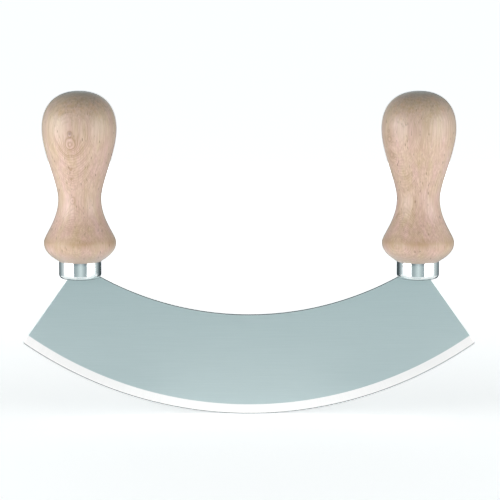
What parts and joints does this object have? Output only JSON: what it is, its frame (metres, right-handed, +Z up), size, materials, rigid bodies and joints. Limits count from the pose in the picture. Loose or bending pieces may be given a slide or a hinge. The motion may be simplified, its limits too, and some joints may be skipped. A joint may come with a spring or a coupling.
{
  "type": "mezzaluna",
  "caption": "Single-blade mezzaluna: a crescent steel rocking blade with upright turned beech handles in polished metal ferrules.",
  "frame": {"origin": "lowest point of the cutting edge, midway along the blade and midway through its thickness", "axes": "+X along the blade towards the right handle, +Y across the blade's thickness, away from the viewer of the picture, +Z up from the edge to the handles"},
  "size_m": [0.23, 0.0378, 0.1653],
  "materials": {
    "satin_steel": "satin ground faces with a brighter ground bevel",
    "polished_ferrule": "polished drawn metal",
    "beech": "turned and sanded, bare or thinly oiled",
    "cured_resin": "hardened, hidden inside the handles"
  },
  "bodies": {
    "root": {"blade": "satin_steel", "ferrule_left": "polished_ferrule", "ferrule_right": "polished_ferrule", "handle_left": "beech", "handle_right": "beech", "resin_left": "cured_resin", "resin_right": "cured_resin"}
  },
  "joints": []
}
